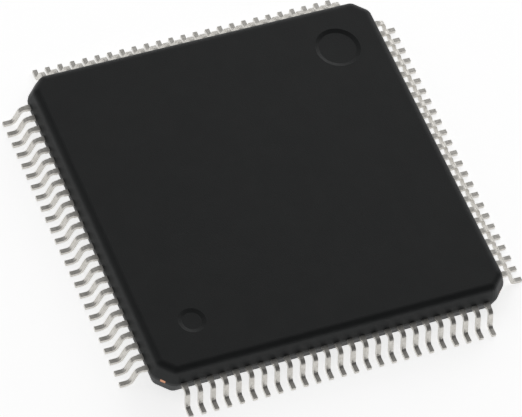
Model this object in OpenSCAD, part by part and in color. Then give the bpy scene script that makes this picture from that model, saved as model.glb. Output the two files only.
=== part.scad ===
// 100-lead low-profile quad flat pack: a moulded body with gull-wing leads on
// all four sides, and the stamped lead frame, the chip and its wires inside it.
// X and Y run along the sides, Z points up, and the leads stand on z = 0.

/* [Moulded body] */
// Width and length of the body at its parting plane, in mm
body_w = 14; // [13.6:0.1:15]
// Thickness of the body, from its underside to its top
body_t = 1.4; // [1.3:0.05:1.6]
// Height of the underside above the board
standoff = 0.05; // [0.03:0.01:0.15]
// Draft of the side walls, in degrees from upright
draft = 16; // [8:1:18]
// Leg of the bevel across each upright corner
corner_cut = 0.63; // [0.45:0.01:0.75]
// Radius of the blend between a side wall and a bevel, seen from above
corner_r = 0.5; // [0.2:0.05:0.6]
// Radius of the edge round the top
edge_r = 0.3; // [0.1:0.05:0.35]
// Radius of the edge round the underside
under_r = 0.2; // [0.1:0.05:0.35]

/* [Marks in the moulding] */
// Diameter of the round ejector recess in the top, at its rim
recess_d = 1.76; // [1:0.02:2]
// Depth of that recess
recess_depth = 0.06; // [0.03:0.01:0.15]
// Distance of the recess centre from both middle lines of the body
recess_at = 4.94; // [4:0.02:5.2]
// Diameter of the lead 1 dimple in the top
dimple_d = 1.04; // [0.6:0.02:1.3]
// Depth of the dimple
dimple_depth = 0.04; // [0.02:0.01:0.1]
// Distance of the dimple centre from both middle lines
dimple_at = 4.96; // [4:0.02:5.2]
// Diameter of the ejector marks in the underside
ejector_d = 1.6; // [1:0.1:2]
// Depth of the ejector marks
ejector_depth = 0.04; // [0.02:0.01:0.08]
// How far the wall of a recess or mark leans out, from floor to rim
mark_flare = 0.16; // [0.04:0.01:0.2]

/* [Leads] */
// Number of leads on each side
leads_per_side = 25; // [17:2:25]
// Distance from one lead to the next
pitch = 0.5; // [0.46:0.01:0.51]
// Width of a lead outside the body
lead_w = 0.17; // [0.14:0.01:0.24]
// Width of the shoulder, which keeps the stubs of the dam bar
shoulder_w = 0.21; // [0.17:0.01:0.28]
// Distance from the body wall to the cut that took the dam bar off
dam_cut = 0.18; // [0.1:0.01:0.2]
// Thickness of the sheet that the lead frame is stamped from
frame_t = 0.127; // [0.1:0.001:0.15]
// How far a lead reaches out from the body wall
lead_reach = 1; // [0.9:0.02:1.2]
// Length of the foot, from the corner of the heel to the tip
foot_len = 0.4; // [0.36:0.01:0.48]
// Lean of the riser, in degrees from upright
riser_lean = 18; // [8:1:22]
// Radius of the bends, on the inside of the bend
bend_r = 0.13; // [0.1:0.01:0.16]

/* [Lead fingers inside the body] */
// Distance from one finger tip to the next
tip_pitch = 0.32; // [0.28:0.01:0.34]
// Width of a finger at its tip
tip_w = 0.16; // [0.12:0.01:0.18]
// Gap between the paddle edge and the finger tips
tip_gap = 0.75; // [0.5:0.05:0.9]
// Length of the straight nose at each finger tip
nose_len = 0.3; // [0.2:0.02:0.4]
// Straight length of a finger inside the wall, before it slants
root_len = 0.45; // [0.35:0.05:0.6]

/* [Die paddle] */
// Width of the square paddle
paddle_w = 7.2; // [6.6:0.1:7.4]
// Step down from the leads to the paddle
downset = 0.2; // [0.1:0.01:0.24]
// Width of the bars that tie the paddle to the corners
tie_w = 0.2; // [0.14:0.01:0.24]
// Length of the slope in a tie bar, seen from above
slope_run = 0.35; // [0.25:0.05:0.5]

/* [Die and wires] */
// Width of the silicon die
die_w = 5.2; // [4.6:0.1:5.6]
// Thickness of the die
die_t = 0.25; // [0.2:0.01:0.28]
// Thickness of the adhesive under the die
attach_t = 0.03; // [0.02:0.005:0.04]
// How far the adhesive runs out past the die
attach_fillet = 0.12; // [0.05:0.01:0.2]
// Distance of the bond pads from the die edge
pad_inset = 0.12; // [0.08:0.01:0.2]
// Thickness of a bond wire
wire_t = 0.03; // [0.02:0.005:0.04]
// Diameter of the ball at the start of a wire
ball_d = 0.08; // [0.06:0.005:0.09]
// Height of the ball
ball_h = 0.02; // [0.015:0.005:0.03]
// Rise of the wire loop above the ball
loop_h = 0.14; // [0.1:0.01:0.18]
// Length of the stitch that lies flat on the finger
stitch_len = 0.08; // [0.05:0.01:0.12]
// Distance from the finger tip to the end of the stitch
stitch_inset = 0.2; // [0.15:0.01:0.28]

/* [Hidden] */

// heights
body_bottom = standoff;
body_top = standoff + body_t;
frame_z = standoff + body_t / 2;
frame_bottom = frame_z - frame_t / 2;
frame_top = frame_z + frame_t / 2;
paddle_top = frame_top - downset;
paddle_bottom = paddle_top - frame_t;
die_bottom = paddle_top + attach_t;
die_top = die_bottom + die_t;

// places along a line out from the middle
wall_u = body_w / 2;
corner_u = (body_w - corner_cut) / sqrt(2);
tip_u = paddle_w / 2 + tip_gap;
root_u = wall_u - root_len;
cut_u = wall_u + dam_cut;
lead_end = wall_u + lead_reach;
pad_u = die_w / 2 - pad_inset;
stitch_u = tip_u + stitch_inset;

// rows
half_row = (leads_per_side - 1) / 2;
pad_pitch = 2 * pad_u / leads_per_side;
front = -90;
right = 0;
back = 90;
left = 180;

// bends of a lead, on its middle line
bend_mid = bend_r + frame_t / 2;
bend_turn = 90 - riser_lean;
heel_z = frame_t / 2;
heel_u = lead_end - foot_len;
knee_u = heel_u - (frame_z - heel_z) * tan(riser_lean);
bend_setback = bend_mid * tan(bend_turn / 2);

// steps in a round stretch, and how far a cutter runs past a face
arc_steps = 6;
blend_step = 15;
wire_steps = 8;
past = 0.5;

RESIN = [0.16, 0.18, 0.19];
TIN = [0.72, 0.71, 0.68];
COPPER = [0.80, 0.53, 0.36];
SILICON = [0.36, 0.38, 0.44];
SILVER_EPOXY = [0.62, 0.62, 0.60];
GOLD = [0.90, 0.72, 0.30];

function arc(centre, r, from, to, steps = arc_steps) = [
    for (i = [0 : steps])
        let (a = from + (to - from) * i / steps)
            centre + r * [cos(a), sin(a)]
];

function mirrored(points) = [
    for (i = [len(points) - 1 : -1 : 0])
        [-points[i][0], points[i][1]]
];

// ---------- moulded body ----------

// Centre of an edge round that touches a level face and a drafted wall.
function edge_centre_u(half, rise, r) =
    half - (r + (rise - r) * sin(draft)) / cos(draft);

// One side of the body's section: both halves draw in from the parting band.
function wall_side(half) = concat(
    arc([edge_centre_u(half, frame_bottom - body_bottom, under_r), body_bottom + under_r],
        under_r, -90, -draft),
    [[half, frame_bottom], [half, frame_top]],
    arc([edge_centre_u(half, body_top - frame_top, edge_r), body_top - edge_r],
        edge_r, draft, 90)
);

// A pair of facing walls, as a bar with the body's section.
module wall_pair(half, turn) {
    rotate([0, 0, turn])
        rotate([90, 0, 0])
            linear_extrude(height = 2 * body_w, center = true)
                polygon(concat(wall_side(half), mirrored(wall_side(half))));
}

// How far out a wall lies that turns by an angle from a side towards a bevel,
// so that it touches the blend between the two.
function blend_u(turn) =
    let (x = wall_u - corner_r, y = sqrt(2) * (corner_u - corner_r) - x)
    x * cos(turn) + y * sin(turn) + corner_r;

module body_block() {
    intersection() {
        wall_pair(wall_u, 0);
        wall_pair(wall_u, 90);
        wall_pair(corner_u, 45);
        wall_pair(corner_u, -45);
        intersection_for(turn = [blend_step : blend_step : 45 - blend_step])
            intersection() {
                wall_pair(blend_u(turn), turn);
                wall_pair(blend_u(turn), -turn);
                wall_pair(blend_u(turn), 90 + turn);
                wall_pair(blend_u(turn), 90 - turn);
            }
    }
}

// A round sunk mark, its rim in the plane z = 0 and its floor below.
module sunk_mark(d, depth) {
    rotate_extrude($fn = 96)
        polygon([
            [0, -depth],
            [d / 2 - mark_flare, -depth],
            [d / 2, 0],
            [d / 2, past],
            [0, past],
        ]);
}

module mold_body() {
    color(RESIN)
        difference() {
            body_block();
            translate([recess_at, recess_at, body_top])
                sunk_mark(recess_d, recess_depth);
            translate([-dimple_at, -dimple_at, body_top])
                sunk_mark(dimple_d, dimple_depth);
            for (turn = [0 : 90 : 270])
                rotate([0, 0, turn])
                    translate([recess_at, recess_at, body_bottom])
                        mirror([0, 0, 1])
                            sunk_mark(ejector_d, ejector_depth);
            paddle_solid();
            attach_solid();
            die_solid();
            for (turn = [front, right, back, left]) {
                lead_row(turn);
                wire_row(turn);
            }
        }
}

// ---------- lead frame ----------

// One side of the bent strip's section, a set distance from its middle line.
function strip_side(d) = concat(
    [[tip_u, frame_z + d]],
    arc([knee_u - bend_setback, frame_z - bend_mid], bend_mid + d, 90, riser_lean),
    arc([heel_u + bend_setback, heel_z + bend_mid], bend_mid - d,
        180 + riser_lean, 270),
    [[lead_end, heel_z + d]]
);

function reversed(points) = [for (i = [len(points) - 1 : -1 : 0]) points[i]];

// The bent sheet of one side, as wide as the whole row.
module bent_sheet() {
    rotate([90, 0, 0])
        linear_extrude(height = 2 * body_w, center = true)
            polygon(concat(strip_side(frame_t / 2), reversed(strip_side(-frame_t / 2))));
}

// Outline of lead k from above: nose, slant, root, shoulder and the part
// past the dam bar's cut.
function lead_outline(k) =
    let (
        side = [
            [tip_u, tip_w / 2, tip_pitch],
            [tip_u + nose_len, tip_w / 2, tip_pitch],
            [root_u, shoulder_w / 2, pitch],
            [cut_u, shoulder_w / 2, pitch],
            [cut_u + (shoulder_w - lead_w) / 2, lead_w / 2, pitch],
            [lead_end, lead_w / 2, pitch],
        ]
    )
    concat(
        [for (s = side) [s[0], k * s[2] - s[1]]],
        [for (s = reversed(side)) [s[0], k * s[2] + s[1]]]
    );

module lead_row(turn) {
    rotate([0, 0, turn])
        intersection() {
            bent_sheet();
            for (k = [-half_row : half_row])
                translate([0, 0, -past])
                    linear_extrude(height = body_top + 2 * past)
                        polygon(lead_outline(k));
        }
}

// Section of a tie bar along the diagonal, from under the paddle corner up to
// the corner of the body, where it is cut off flush.
function tie_side(d) =
    let (low = paddle_w / sqrt(2), z = paddle_bottom + frame_t / 2)
    [
        [low - tie_w, z + d],
        [low + tie_w, z + d],
        [low + tie_w + slope_run, frame_z + d],
        [corner_u, frame_z + d],
    ];

module tie_bar(turn) {
    rotate([0, 0, turn])
        rotate([90, 0, 0])
            linear_extrude(height = tie_w, center = true)
                polygon(concat(tie_side(-frame_t / 2), reversed(tie_side(frame_t / 2))));
}

module paddle_solid() {
    union() {
        translate([-paddle_w / 2, -paddle_w / 2, paddle_bottom])
            cube([paddle_w, paddle_w, frame_t]);
        for (turn = [45 : 90 : 315])
            tie_bar(turn);
    }
}

module die_paddle() {
    color(COPPER)
        paddle_solid();
}

module leads(turn) {
    color(TIN)
        lead_row(turn);
}

// ---------- die ----------

module attach_solid() {
    spread = die_w + 2 * attach_fillet;
    translate([-spread / 2, -spread / 2, paddle_top])
        cube([spread, spread, attach_t]);
}

module die_attach() {
    color(SILVER_EPOXY)
        attach_solid();
}

module die_solid() {
    translate([-die_w / 2, -die_w / 2, die_bottom])
        cube([die_w, die_w, die_t]);
}

module die() {
    color(SILICON)
        die_solid();
}

// ---------- bond wires ----------

// Middle line of a wire over a span: up from the ball, over and down.
function loop_point(span, t) =
    let (
        p0 = [0, die_top + ball_h / 2],
        p1 = [0, die_top + ball_h + 1.6 * loop_h],
        p2 = [span * 0.55, die_top + ball_h + loop_h],
        p3 = [span - stitch_len, frame_top + wire_t / 2],
        s = 1 - t
    )
    s * s * s * p0 + 3 * s * s * t * p1 + 3 * s * t * t * p2 + t * t * t * p3;

function loop_side(span, d) = concat(
    [
        for (i = [0 : wire_steps - 1])
            let (
                t = i / wire_steps,
                ahead = loop_point(span, t + 0.02) - loop_point(span, max(t - 0.02, 0)),
                way = ahead / norm(ahead)
            )
            loop_point(span, t) + d * [-way[1], way[0]]
    ],
    [
        [span - stitch_len, frame_top + wire_t / 2 + d],
        [span, frame_top + wire_t / 2 + d],
    ]
);

module wire(k) {
    start = [pad_u, k * pad_pitch];
    way = [stitch_u, k * tip_pitch] - start;
    span = norm(way);
    translate([start[0], start[1], 0])
        rotate([0, 0, atan2(way[1], way[0])])
            union() {
                rotate([90, 0, 0])
                    linear_extrude(height = wire_t, center = true)
                        polygon(concat(
                            loop_side(span, -wire_t / 2),
                            reversed(loop_side(span, wire_t / 2))
                        ));
                translate([0, 0, die_top])
                    cylinder(h = ball_h, d = ball_d, $fn = 24);
            }
}

module wire_row(turn) {
    rotate([0, 0, turn])
        for (k = [-half_row : half_row])
            wire(k);
}

module wires(turn) {
    color(GOLD)
        wire_row(turn);
}

mold_body();
die_paddle();
die_attach();
die();
leads(front);  // leads_front
leads(right);  // leads_right
leads(back);  // leads_back
leads(left);  // leads_left
wires(front);  // wires_front
wires(right);  // wires_right
wires(back);  // wires_back
wires(left);  // wires_left
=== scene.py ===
import math

import bpy
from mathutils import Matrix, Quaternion, Vector

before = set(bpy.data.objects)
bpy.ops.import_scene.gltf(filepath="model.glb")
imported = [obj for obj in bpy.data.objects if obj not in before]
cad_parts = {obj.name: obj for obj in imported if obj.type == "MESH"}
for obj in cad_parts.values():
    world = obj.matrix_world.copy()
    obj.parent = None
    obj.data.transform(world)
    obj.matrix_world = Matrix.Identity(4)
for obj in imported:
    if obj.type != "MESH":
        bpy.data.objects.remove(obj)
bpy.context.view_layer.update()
mm = 0.001
print("frame loaded:", len(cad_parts), "nodes")

# camera -----------------------------------------------------------------

cameraSet = {
    "aim": (-0.411, -0.694, 0.75),  # mm, the point in the middle of the view
    "azimuth": 33.613,  # degrees from +Y towards +X
    "elevation": 53.742,
    "roll": 14.008,
    "distance": 168.15,  # mm
    "lens": 315.62,
}


def addCamera(c):
    data = bpy.data.cameras.new("camera")
    data.lens = c["lens"]
    data.sensor_width = 36
    data.clip_start = 0.01
    data.clip_end = 20
    cam = bpy.data.objects.new("camera", data)
    bpy.context.scene.collection.objects.link(cam)
    az, el = math.radians(c["azimuth"]), math.radians(c["elevation"])
    look = Vector((math.cos(el) * math.sin(az), math.cos(el) * math.cos(az), -math.sin(el)))
    cam.location = Vector(c["aim"]) * mm - look * c["distance"] * mm
    cam.rotation_mode = "QUATERNION"
    turn = Quaternion((0, 0, 1), math.radians(c["roll"]))
    cam.rotation_quaternion = look.to_track_quat("-Z", "Y") @ turn
    bpy.context.scene.camera = cam
    return cam


addCamera(cameraSet)
bpy.context.scene.view_settings.view_transform = "Standard"
print("camera placed")

# materials --------------------------------------------------------------


def newMaterial(name):
    mat = bpy.data.materials.new(name)
    mat.use_nodes = True
    tree = mat.node_tree
    tree.nodes.clear()
    out = tree.nodes.new("ShaderNodeOutputMaterial")
    shader = tree.nodes.new("ShaderNodeBsdfPrincipled")
    tree.links.new(shader.outputs[0], out.inputs["Surface"])
    return mat, tree, shader


def noise(tree, coords, size, detail=2.0, rough=0.5):
    # size is the width of one blotch, in mm
    n = tree.nodes.new("ShaderNodeTexNoise")
    n.inputs["Scale"].default_value = 1 / (size * mm)
    n.inputs["Detail"].default_value = detail
    n.inputs["Roughness"].default_value = rough
    tree.links.new(coords, n.inputs["Vector"])
    return n.outputs["Fac"]


def ramp(tree, fac, low, high, a, b):
    r = tree.nodes.new("ShaderNodeMapRange")
    tree.links.new(fac, r.inputs["Value"])
    for name, value in zip(("From Min", "From Max", "To Min", "To Max"), (low, high, a, b)):
        r.inputs[name].default_value = value
    return r.outputs["Result"]


def blendColour(tree, fac, a, b):
    m = tree.nodes.new("ShaderNodeMix")
    m.data_type = "RGBA"
    tree.links.new(fac, m.inputs["Factor"])
    for socket, value in ((m.inputs[6], a), (m.inputs[7], b)):
        if isinstance(value, bpy.types.NodeSocket):
            tree.links.new(value, socket)
        else:
            socket.default_value = (*value, 1)
    return m.outputs[2]


def bump(tree, shader, height, depth):
    b = tree.nodes.new("ShaderNodeBump")
    b.inputs["Strength"].default_value = 1
    b.inputs["Distance"].default_value = depth * mm
    tree.links.new(height, b.inputs["Height"])
    tree.links.new(b.outputs["Normal"], shader.inputs["Normal"])


resin = {
    "dark": (0.0100, 0.0120, 0.0127),
    "light": (0.0135, 0.0155, 0.0160),
    "blotch": 0.9,
    "grain": 0.05,
    "grainDepth": 0.004,
    "roughness": (0.5, 0.6),
    "specular": 0.42,
}


def resinMaterial(c):
    mat, tree, shader = newMaterial("mouldedResin")
    place = tree.nodes.new("ShaderNodeTexCoord").outputs["Object"]
    blotch = ramp(tree, noise(tree, place, c["blotch"], 3), 0.35, 0.65, 0, 1)
    colour = blendColour(tree, blotch, c["dark"], c["light"])
    tree.links.new(colour, shader.inputs["Base Color"])
    grain = noise(tree, place, c["grain"], 3, 0.6)
    tree.links.new(ramp(tree, grain, 0.3, 0.7, *c["roughness"]), shader.inputs["Roughness"])
    shader.inputs["Specular IOR Level"].default_value = c["specular"]
    bump(tree, shader, grain, c["grainDepth"])
    return mat


tin = {
    "bright": (0.72, 0.70, 0.66),
    "dull": (0.60, 0.58, 0.54),
    "patch": 0.12,
    "grain": 0.02,
    "grainDepth": 0.0015,
    "roughness": (0.28, 0.42),
}


def tinMaterial(c):
    mat, tree, shader = newMaterial("tinPlate")
    place = tree.nodes.new("ShaderNodeTexCoord").outputs["Object"]
    patch = ramp(tree, noise(tree, place, c["patch"], 3), 0.35, 0.65, 0, 1)
    colour = blendColour(tree, patch, c["dull"], c["bright"])
    tree.links.new(colour, shader.inputs["Base Color"])
    grain = noise(tree, place, c["grain"], 2, 0.6)
    tree.links.new(ramp(tree, grain, 0.3, 0.7, *c["roughness"]), shader.inputs["Roughness"])
    shader.inputs["Metallic"].default_value = 1
    bump(tree, shader, grain, c["grainDepth"])
    return mat


metal = {
    # two shades, and the lowest roughness
    "copper": ((0.72, 0.36, 0.22), (0.58, 0.27, 0.16), 0.3),
    "gold": ((0.86, 0.58, 0.20), (0.80, 0.52, 0.17), 0.2),
    "patch": 0.2,  # mm
    "spread": 0.15,  # how much rougher the dull patches are
    "patchDepth": 0.001,
}


def plainMetal(name, shades):
    lightShade, darkShade, polish = metal[shades]
    mat, tree, shader = newMaterial(name)
    place = tree.nodes.new("ShaderNodeTexCoord").outputs["Object"]
    patch = noise(tree, place, metal["patch"], 3)
    colour = blendColour(tree, patch, lightShade, darkShade)
    tree.links.new(colour, shader.inputs["Base Color"])
    rough = ramp(tree, patch, 0.3, 0.7, polish, polish + metal["spread"])
    tree.links.new(rough, shader.inputs["Roughness"])
    shader.inputs["Metallic"].default_value = 1
    bump(tree, shader, patch, metal["patchDepth"])
    return mat


def setMaterial(obj, mat):
    obj.data.materials.clear()
    obj.data.materials.append(mat)


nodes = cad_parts
setMaterial(nodes["mold_body"], resinMaterial(resin))
tinPlate = tinMaterial(tin)
copper = plainMetal("rolledCopper", "copper")
gold = plainMetal("goldWire", "gold")
for side in ("front", "right", "back", "left"):
    setMaterial(nodes["leads_" + side], tinPlate)
    setMaterial(nodes["wires_" + side], gold)
for name in ("die_paddle", "die_attach", "die"):
    setMaterial(nodes[name], copper)
print("materials made")

# floor and light --------------------------------------------------------

studio = {
    "half": 1.5,  # m, from the middle of the floor to its edge
    "floor": (0.85, 0.85, 0.85),
    "floorGlow": 0.75,  # the floor is a lit white table
    "room": (1.0, 1.0, 1.0),
    "roomPower": 0.12,
}


def addFloor(c):
    half = c["half"]
    mesh = bpy.data.meshes.new("floor")
    corners = [(-half, -half, 0), (half, -half, 0), (half, half, 0), (-half, half, 0)]
    mesh.from_pydata(corners, [], [(0, 1, 2, 3)])
    obj = bpy.data.objects.new("floor", mesh)
    bpy.context.scene.collection.objects.link(obj)
    mat, tree, shader = newMaterial("paleFloor")
    shader.inputs["Base Color"].default_value = (*c["floor"], 1)
    shader.inputs["Roughness"].default_value = 0.9
    shader.inputs["Specular IOR Level"].default_value = 0.0
    shader.inputs["Emission Color"].default_value = (1, 1, 1, 1)
    shader.inputs["Emission Strength"].default_value = c["floorGlow"]
    obj.data.materials.append(mat)
    return obj


softboxes = {
    # azimuth and elevation in degrees, width, height and distance in mm,
    # power in watts
    "back": (8, 22, 200, 200, 300, 0.056),
    "rightBack": (45, 22, 200, 200, 300, 0.189),
    "leftBack": (-45, 22, 200, 200, 300, 0.031),
    "highRight": (33, 54, 200, 200, 300, 0.027),
    "highLeft": (-57, 54, 200, 200, 300, 0.04),
    "overhead": (0, 89, 200, 200, 300, 0.007),
}


def addSoftbox(name, c):
    azimuth, elevation, wide, high, distance, power = c
    data = bpy.data.lights.new(name, "AREA")
    data.shape = "RECTANGLE"
    data.size = wide * mm
    data.size_y = high * mm
    data.energy = power
    obj = bpy.data.objects.new(name, data)
    bpy.context.scene.collection.objects.link(obj)
    az, el = math.radians(azimuth), math.radians(elevation)
    way = Vector((math.cos(el) * math.sin(az), math.cos(el) * math.cos(az), math.sin(el)))
    obj.location = way * distance * mm
    obj.rotation_euler = (-way).to_track_quat("-Z", "Y").to_euler()
    return obj


addFloor(studio)
for name, c in softboxes.items():
    addSoftbox(name, c)
world = bpy.data.worlds.new("world")
bpy.context.scene.world = world
world.use_nodes = True
back = world.node_tree.nodes["Background"]
back.inputs["Color"].default_value = (*studio["room"], 1)
back.inputs["Strength"].default_value = studio["roomPower"]
print("floor and lights set")
